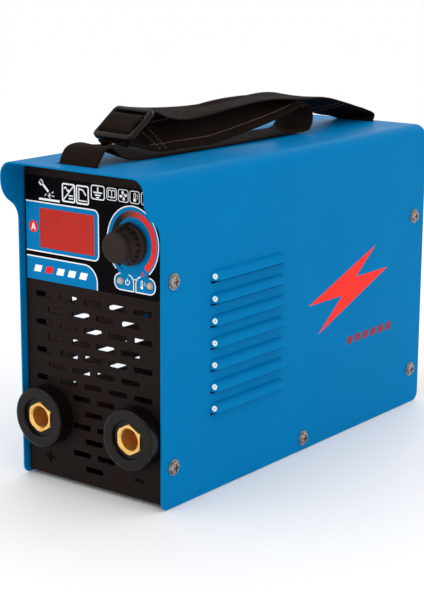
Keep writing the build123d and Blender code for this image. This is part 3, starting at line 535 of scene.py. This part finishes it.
# 3: framed signs: earth, open book, fan, temperature
G += [box_o(0.6, 10.6, 180.9, 188.9, 1.3, 0.7)]
for (x0, x1) in ((12.6, 20.0), (21.4, 28.8), (30.2, 37.2), (38.6, 45.2)):
    G += [box_o(x0, x1, 181.6, 188.6, 1.3, 0.45)]
G += [stroke([(5.6, 188.0), (5.6, 185.2)], 0.9), [bar_h(2.3, 8.9, 184.8, 0.85)], [bar_h(3.4, 7.8, 183.3, 0.8)], [bar_h(4.5, 6.7, 181.95, 0.75)]]
G += [stroke([(13.7, 183.2), (13.7, 187.2), (15.1, 187.5), (16.3, 186.9), (17.5, 187.5), (18.9, 187.2), (18.9, 183.2)], 0.5), stroke([(13.7, 183.2), (15.1, 183.5), (16.3, 182.9), (17.5, 183.5), (18.9, 183.2)], 0.5), stroke([(16.3, 186.9), (16.3, 183.0)], 0.5)]
fcx, fcz = 25.1, 185.1
for k in range(4):
    a = math.radians(90 * k + 20)
    pts = []
    for (r, da) in ((0.5, -0.3), (1.9, -0.62), (2.8, -0.40), (2.9, 0.02), (2.2, 0.30), (0.8, 0.38)):
        pts.append((fcx + r * math.cos(a + da), fcz + r * math.sin(a + da)))
    G += [[pts]]
G += [stroke([(33.1, 184.2), (33.1, 187.2), (33.7, 187.7), (34.3, 187.2), (34.3, 184.2)], 0.4), [circ(33.7, 183.5, 1.05, 20)]]
G += [stroke([(35.2, 186.8), (36.2, 186.8)], 0.35), stroke([(35.2, 185.7), (36.2, 185.7)], 0.35), stroke([(35.2, 184.6), (36.2, 184.6)], 0.35)]
G += [stroke([(40.2, 187.3), (43.6, 187.3), (42.1, 185.1), (43.6, 182.9), (40.2, 182.9), (41.7, 185.1)], 0.45, True)]
# lamp signs: power symbol and overheating symbol
G += [stroke(corner(27.9, 134.6, 1.55, 130, 410, 22), 0.5), [[(27.65, 134.9), (28.15, 134.9), (28.15, 137.0), (27.65, 137.0)]]]
G += [stroke([(38.2, 133.6), (38.2, 136.6), (38.7, 137.0), (39.2, 136.6), (39.2, 133.6)], 0.38), [circ(38.7, 132.9, 0.95, 18)]]
G += [[[(40.4, 135.7), (41.4, 135.7), (41.4, 136.05), (40.4, 136.05)]], [[(40.4, 134.5), (41.4, 134.5), (41.4, 134.85), (40.4, 134.85)]]]
plate("overlay_ink_white_signs", G, Y3, FACE, M["film_white"])
# plain bars in the lower band, where a name would be
B = []
for i, (x0, x1) in enumerate(((-46.8, -39.6), (-37.6, -30.4), (-28.4, -21.2), (-19.2, -12.0), (-10.0, -2.8))):
    B.append([[(x0, 131.2), (x1 - 1.6, 131.2), (x1, 135.4), (x0 + 1.6, 135.4)]])
plate("overlay_ink_band_chevrons_white", [B[0], B[2], B[3], B[4]], Y3, FACE, M["film_white"])
plate("overlay_ink_band_chevron_red", [B[1]], Y3, FACE, M["film_red"])

# polarity signs pressed under the sockets
for nm, x, shapes in (("positive", -36.0, [[[(-39.6, 13.4), (-37.0, 13.4), (-37.0, 10.6), (-35.0, 10.6), (-35.0, 13.4), (-32.4, 13.4), (-32.4, 15.4), (-35.0, 15.4), (-35.0, 18.0), (-37.0, 18.0), (-37.0, 15.4), (-39.6, 15.4)]]]),
                      ("negative", 36.0, [[[(32.4, 13.5), (39.6, 13.5), (39.6, 15.5), (32.4, 15.5)]]])):
    plate("polarity_sign_" + nm, shapes, 3.52, 3.6, M["film"])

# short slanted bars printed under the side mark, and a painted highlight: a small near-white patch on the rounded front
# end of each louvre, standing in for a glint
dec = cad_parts["side_decal_right"]
SX = min((dec.matrix_world @ v.co).x for v in dec.data.vertices) * 1000
for sgn, nm in ((1, "right"), (-1, "left")):
    bars = []
    for i in range(6):
        y0 = 196.5 + 9.8 * i
        bars.append([[(y0, 61.2), (y0 + 6.4, 61.2), (y0 + 8.2, 66.4), (y0 + 1.8, 66.4)]])
    plate("side_bars_" + nm, bars, 0, 0.08, M["side_ink"], "case", lambda co, g=sgn: P(g * (SX + 0.04 + co.z), co.x, co.y))
# painted highlight: small near-white caps laid on each louvre's front end, a glint painted as colour
lv, lf = [], []
for sgn in (1, -1):
    for k in range(7):
        zc = 133.2 - 13.6 * k
        c = Vector((SX - 1.3, 83.5 - 32.95, zc - 1.2))
        base = len(lv)
        nr, na = 4, 14
        d0 = Vector((math.cos(math.radians(40)) * math.cos(math.radians(27)), -math.sin(math.radians(40)) * math.cos(math.radians(27)), math.sin(math.radians(27))))
        e1 = d0.cross(Vector((0, 0, 1))).normalized()
        e2 = e1.cross(d0)
        lv.append(P(sgn * (c + d0 * 5.76).x, (c + d0 * 5.76).y, (c + d0 * 5.76).z))
        for r_ in range(1, nr + 1):
            for q in range(na):
                a = 2 * math.pi * q / na
                w_ = (0.30 if math.sin(a) < 0 else 0.36) * (1 + 0.12 * math.cos(a)) * r_ / nr
                v = c + (d0 + (e1 * math.cos(a) * 0.8 + e2 * math.sin(a)) * w_).normalized() * 5.76
                lv.append(P(sgn * v.x, v.y, v.z))
        for q in range(na):
            lf.append((base, base + 1 + q, base + 1 + (q + 1) % na))
            for r_ in range(nr - 1):
                a0, a1 = base + 1 + r_ * na + q, base + 1 + r_ * na + (q + 1) % na
                lf.append((a0, a1, a1 + na, a0 + na))
add_obj("louvre_painted_highlights", lv, lf, M["lance"], "case", smooth=True)

# ------------------------------------------------------------------ carrying strap
# stations along the strap: x, y, z of the middle, how far the right edge drops (degrees), width, swing of the edge line in plan (degrees)
BC = (-4.8, 39.0, 220.9)                               # middle of the buckle
TILT, YAW = math.radians(37.9), math.radians(7.0)
BU = Vector((math.cos(YAW), -math.sin(YAW), 0))
BS = Vector((math.cos(TILT) * math.sin(YAW), math.cos(TILT) * math.cos(YAW), math.sin(TILT)))
BN = BU.cross(BS)


def buck(s, n):
    return tuple(Vector(BC) + BS * s + BN * n)


ST = []


def st(x, y, z, roll=0.0, w=29.6, swing=0.0):
    ST.append((x, y, z, roll, w, swing))


for i in range(9):                                     # loop round the front anchor bar
    a = math.radians(-150 + 245 * i / 8)
    st(-6.6, 13.5 + 2.95 * math.cos(a), 191.8 + 2.95 * math.sin(a))
for (y, z) in ((9.0, 196.3), (4.2, 197.1), (1.3, 197.6), (0.4, 198.6), (0.5, 200.2)):
    st(-6.6, y, z)
st(-6.6, 2.4, 203.5, 0, 29.6, -2)
st(-6.6, 5.6, 207.5, 0, 29.6, -3)
st(-6.5, 8.8, 209.6, 0, 29.6, 1)
st(-6.4, 13.0, 210.1, 0, 29.6, 6)
st(-6.2, 17.0, 209.2, 1, 29.6, 9)
st(-5.9, 20.6, 207.3, 4, 29.6, 10)
st(-5.5, 24.5, 205.8, 8, 29.6, 9)
st(-5.0, 31.0, 204.6, 11, 29.6, 6)
st(-4.4, 40.0, 203.8, 11, 29.6, 4)
st(-3.8, 50.0, 203.2, 9, 29.6, 2)
st(-3.2, 62.0, 202.3, 5)
st(-2.4, 80.0, 201.1)
st(-1.4, 110.0, 201.1)
st(-0.6, 140.0, 201.3, -0.5)
st(0.0, 170.0, 201.6, -1.0)
st(0.2, 188.0, 201.5, -1.5)
st(0.3, 199.0, 201.3, -1.0)
for i in range(1, 8):                                  # fold at the back
    a = math.radians(-90 + 180 * i / 8)
    st(0.3 - 0.03 * i, 203.8 + 7.8 * math.cos(a), 211.1 + 9.6 * math.sin(a), 1.0 * i)
st(0.1, 198.0, 221.0, 9)
st(0.2, 188.0, 220.5, 17)
st(0.3, 176.0, 219.6, 25)
st(0.5, 160.0, 218.4, 33)
st(0.6, 142.0, 217.0, 40)
st(0.5, 124.0, 215.2, 45)
st(0.2, 106.0, 213.4, 45)
st(-0.8, 90.0, 212.8, 41)
st(-2.2, 76.0, 212.3, 38)
st(-3.4, 64.0, 211.7, 36)
st(-4.2, 54.0, 210.6, 27)
st(-4.8, 46.0, 209.5, 15)
st(-5.0, 40.5, 209.1, 6)
st(-5.2, 36.0, 209.1, 0, 28.2, 5)
st(-5.4, 32.0, 210.6, 0, 27.4, 7)
for (a_, b_) in ((-13.2, -3.6), (-11.4, -3.0), (-9.9, -2.75), (-8.8, -1.9), (-7.8, -0.2), (-6.5, 1.35), (-4.0, 2.4), (0, 2.68), (4.0, 2.3), (6.3, 1.15), (7.6, -0.4), (8.6, -2.0), (9.9, -2.8), (11.6, -2.95), (13.8, -2.8)):
    st(*buck(a_, b_), 0, 27.7, 7)
st(-4.2, 57.5, 226.4, 4, 29.2, 5)
st(-3.8, 66.0, 224.6, 8, 29.6, 3)
st(-3.4, 80.0, 222.9, 9.5, 29.6, 1)
st(-2.8, 94.0, 222.6, 7)
st(-2.2, 110.0, 223.0, 2.5)
st(-1.8, 128.0, 223.7, -1)
st(-1.4, 150.0, 224.6, -3.0)
st(-1.0, 170.0, 225.1, -1.5)
st(-0.8, 186.0, 224.8, 3)
st(-0.6, 199.0, 224.1, 5)
st(-0.4, 210.0, 223.0, 3)
st(-0.2, 221.0, 221.3, -3)
st(-0.1, 233.0, 218.4, -9)
st(0.0, 244.6, 214.5, -14)
st(0.0, 255.0, 211.2, -17)
st(0.1, 265.0, 208.7, -16)
st(0.2, 275.0, 206.6, -14)
st(0.3, 282.0, 204.7, -13)
st(0.3, 287.4, 203.2, -12)
st(0.3, 289.6, 202.3, -8)
st(0.2, 289.2, 201.3, -3)
st(0.1, 287.8, 200.1, 0)
st(0.0, 287.2, 198.6, 0)
st(0.0, 287.1, 196.8, 0)
st(0.0, 287.1, 195.2, 0)
for i in range(9):
    a = math.radians(12 - 225 * i / 8)
    st(0.0, 283.4 + 3.3 * math.cos(a), 190.6 + 3.3 * math.sin(a))


def catmull(st_, step):
    """every field through centripetal Catmull-Rom, then resampled evenly along the line"""
    n = len(st_)
    ext = [tuple(2 * a - b for a, b in zip(st_[0], st_[1]))] + list(st_) + [tuple(2 * a - b for a, b in zip(st_[-1], st_[-2]))]
    dense = []
    for i in range(1, n):
        p0, p1, p2, p3 = ext[i - 1], ext[i], ext[i + 1], ext[i + 2]
        t = [0.0]
        for a, b in ((p0, p1), (p1, p2), (p2, p3)):
            t.append(t[-1] + max(1e-6, math.dist(a[:3], b[:3])) ** 0.5)
        for s in range(12):
            u = t[1] + (t[2] - t[1]) * s / 12

            def L(a, b, ta, tb):
                return tuple(((tb - u) * x + (u - ta) * y) / (tb - ta) for x, y in zip(a, b))
            A1, A2, A3 = L(p0, p1, t[0], t[1]), L(p1, p2, t[1], t[2]), L(p2, p3, t[2], t[3])
            B1, B2 = L(A1, A2, t[0], t[2]), L(A2, A3, t[1], t[3])
            dense.append(L(B1, B2, t[1], t[2]))
    dense.append(st_[-1])
    acc = [0.0]
    for a, b in zip(dense, dense[1:]):
        acc.append(acc[-1] + math.dist(a[:3], b[:3]))
    m = int(acc[-1] / step)
    out, j = [], 0
    for k in range(m + 1):
        s = acc[-1] * k / m
        while j < len(acc) - 2 and acc[j + 1] < s:
            j += 1
        f = (s - acc[j]) / max(1e-9, acc[j + 1] - acc[j])
        out.append(tuple(x + (y - x) * f for x, y in zip(dense[j], dense[j + 1])) + (s,))
    return out


STEP = 0.33
SL = catmull(ST, STEP)
STRAP_LEN = SL[-1][-1]
HT = 0.78                                              # half thickness
NU = 14


def frame_at(i):
    a, b = SL[max(0, i - 1)], SL[min(len(SL) - 1, i + 1)]
    T = Vector((b[0] - a[0], b[1] - a[1], b[2] - a[2])).normalized()
    roll = math.radians(SL[i][3])
    sw = math.radians(SL[i][5])
    S_ = Vector((math.cos(roll) * math.cos(sw), -math.cos(roll) * math.sin(sw), -math.sin(roll)))
    S_ = (S_ - T * S_.dot(T) * 0.55).normalized()
    N = T.cross(S_)
    return T, S_, N


verts, faces, uvs = [], [], []
ring = []
for k in range(NU + 1):                                # top side, left to right
    ring.append((-1 + 2 * k / NU, 1))
for k in range(NU, -1, -1):                            # under side, right to left
    ring.append((-1 + 2 * k / NU, -1))
RN = len(ring)
for i, s in enumerate(SL):
    T, S_, N = frame_at(i)
    d = s[6]
    pick = math.sin(2 * math.pi * d / 1.3)
    c = Vector(s[:3])
    for (u, side) in ring:
        e = abs(u)
        # flat band with round, slightly thicker selvedges and fine ribs across
        th = HT * (1.0 if e < 0.86 else (1.12 if e < 0.99 else 0.35))
        ph = 1 if (int(round((u + 1) * NU / 2)) % 2 == 0) else -1
        rib = 0.06 * pick * (1 if e < 0.99 else 0.5)
        uu = u * (s[4] / 2 + 0.14 * pick * (1 if e > 0.99 else 0))
        crown = 0.25 * (1 - u * u)
        v = c + S_ * uu + N * (side * (th + rib) + crown - 0.12)
        verts.append(P(*v))
for i in range(len(SL) - 1):
    for k in range(RN):
        a, b = i * RN + k, i * RN + (k + 1) % RN
        faces.append((a, b, b + RN, a + RN))
faces.append(tuple(range(RN))[::-1])
faces.append(tuple((len(SL) - 1) * RN + k for k in range(RN)))
strap = add_obj("strap_webbing", verts, faces, M["web"], "case", smooth=True)
me = strap.data
bm = bmesh.new()
bm.from_mesh(me)
bmesh.ops.recalc_face_normals(bm, faces=bm.faces)
bm.to_mesh(me)
bm.free()
uvl = me.uv_layers.new(name="UVMap")
for poly in me.polygons:
    for li in poly.loop_indices:
        vi = me.loops[li].vertex_index
        i, k = divmod(vi, RN)
        uvl.data[li].uv = ((ring[k][0] + 1) * 0.0148, SL[i][6] / 1000)
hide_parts("carry_strap")


# moulded ladder buckle: rounded bars round two slots
def buckle_put(co):
    v = Vector(BC) + BU * co.x + BS * co.y + BN * co.z
    return P(*v)


buckle = plate("strap_buckle_moulded", [[rrect(-16.4, 17.0, -13.6, 12.6, (3.6, 3.6, 3.6, 3.6), 8), rrect(-13.8, 13.8, 2.7, 9.6, 0.8, 4), rrect(-13.8, 13.8, -9.6, -2.7, 0.8, 4)]],
               -1.8, 1.8, M["gloss"], "case", buckle_put, 0.85)
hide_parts("strap_buckle")
for f_ in buckle.data.polygons:
    f_.use_smooth = True

# stitches: short thread humps that ride on the webbing
def on_strap(d, u, side):
    i = min(len(SL) - 1, max(0, int(round(d / STRAP_LEN * (len(SL) - 1)))))
    T, S_, N = frame_at(i)
    s = SL[i]
    return Vector(s[:3]) + S_ * (u * s[4] / 2) + N * (side * HT + 0.25 * (1 - u * u) - 0.12), T, S_, N * side


sv, sf = [], []


def stitch(pos, along, nrm, length=1.6, r=0.33):
    side = along.cross(nrm).normalized()
    base = len(sv)
    n, m = 7, 6
    for i in range(n):
        f = i / (n - 1) * 2 - 1
        h = 0.30 * (1 - f * f) - 0.12
        rr = r * math.sqrt(max(0.05, 1 - (abs(f) ** 4)))
        for j in range(m):
            a = 2 * math.pi * j / m
            sv.append(P(*(pos + along * (f * length / 2) + nrm * (h + rr * math.sin(a)) + side * (rr * math.cos(a)))))
    for i in range(n - 1):
        for j in range(m):
            a, b = base + i * m + j, base + i * m + (j + 1) % m
            sf.append((a, b, b + m, a + m))
    sf.append(tuple(base + j for j in range(m))[::-1])
    sf.append(tuple(base + (n - 1) * m + j for j in range(m)))


# distance along the strap of a station's y on a given run
def d_at(y, i0, i1):
    best = min(range(i0, i1), key=lambda i: abs(SL[i][1] - y))
    return SL[best][6]


nS = len(SL)
iU = max(range(nS), key=lambda i: SL[i][1] if SL[i][2] > 200 and SL[i][6] < STRAP_LEN * 0.5 else -1e9)   # the back fold
iB = min(range(iU, nS), key=lambda i: SL[i][1])                                                          # the front fold
dm0, dm1 = SL[iU][6] + 6, d_at(52, iU, iB)
d = dm0
while d < dm1:                                         # a seam along each edge of the middle run, on both faces
    for u in (-0.62, 0.62):
        for side in (1, -1):
            p_, T, S_, N = on_strap(d, u, side)
            stitch(p_, T, N)
    d += 2.3


def cross_row(d, n=11, side=1):
    for k in range(n):
        u = -0.85 + 1.7 * k / (n - 1)
        p_, T, S_, N = on_strap(d, u, side)
        stitch(p_, S_, N, 1.7)


for (y, a, b) in ((58, iU, iB), (64, iU, iB)):
    for side in (1, -1):
        cross_row(d_at(y, a, b), 11, side)
cross_row(d_at(246, iB, nS), 11, 1)
cross_row(d_at(252, iB, nS), 11, 1)
cross_row(d_at(30, 0, iU), 11, 1)
cross_row(d_at(36, 0, iU), 11, 1)
stitches = add_obj("strap_stitching", sv, sf, M["thread"], "case", smooth=True)


#@@END@@

# ------------------------------------------------------------------ stage, light, camera
bm = bmesh.new()
S = 30.0
vs = [bm.verts.new(v) for v in ((-S, -S, 0), (S, -S, 0), (S, S, 0), (-S, S, 0))]
bm.faces.new(vs)
me = bpy.data.meshes.new("floor")
bm.to_mesh(me)
bm.free()
floor = bpy.data.objects.new("floor", me)
bpy.context.scene.collection.objects.link(floor)
fm, nt, p = new_mat("pale_floor")
p.inputs["Base Color"].default_value = (0.955, 0.955, 0.955, 1)
p.inputs["Roughness"].default_value = 0.6
p.inputs["Specular IOR Level"].default_value = 0.2
me.materials.append(fm)

w = bpy.data.worlds.new("world")
bpy.context.scene.world = w
w.use_nodes = True
bg = w.node_tree.nodes["Background"]
bg.inputs["Color"].default_value = (1, 1, 1, 1)
bg.inputs["Strength"].default_value = 1.04


def area(name, loc, target, size, power, size_y=None):
    l = bpy.data.lights.new(name, "AREA")
    l.energy = power
    l.shape = "RECTANGLE"
    l.size = size
    l.size_y = size_y or size
    o = bpy.data.objects.new(name, l)
    bpy.context.scene.collection.objects.link(o)
    o.location = loc
    d = Vector(target) - Vector(loc)
    o.rotation_euler = d.to_track_quat("-Z", "Y").to_euler()
    return o


area("key", (0.9, -0.55, 0.95), (0, 0, 0.1), 0.9, 1.8)
area("front_fill", (-0.5, -1.2, 0.5), (0, 0, 0.1), 0.9, 1.0)
area("top", (-0.1, 0.1, 1.3), (0, 0, 0.1), 0.9, 0.6)
area("rear", (-0.4, 1.3, 0.7), (0, 0, 0.1), 0.9, 1.0)

az, el, roll = math.radians(37.4477), math.radians(13.4971), math.radians(0.3165)
back = Vector((math.sin(az) * math.cos(el), -math.cos(az) * math.cos(el), math.sin(el)))
right = Vector((0, 0, 1)).cross(back).normalized()
up = back.cross(right)
r2 = right * math.cos(roll) + up * math.sin(roll)
u2 = -right * math.sin(roll) + up * math.cos(roll)
cam = bpy.data.cameras.new("camera")
cam.sensor_width = 36.0
cam.sensor_fit = "AUTO"
cam.lens = 96.07
cam.clip_start = 0.01
cam.clip_end = 100
co = bpy.data.objects.new("camera", cam)
bpy.context.scene.collection.objects.link(co)
mtx = Matrix(((r2.x, u2.x, back.x), (r2.y, u2.y, back.y), (r2.z, u2.z, back.z))).to_4x4()
mtx.translation = P(617.61, -686.05, 341.75)
co.matrix_world = mtx
bpy.context.scene.camera = co
bpy.context.scene.view_settings.view_transform = "Standard"
bpy.context.scene.view_settings.look = "None"
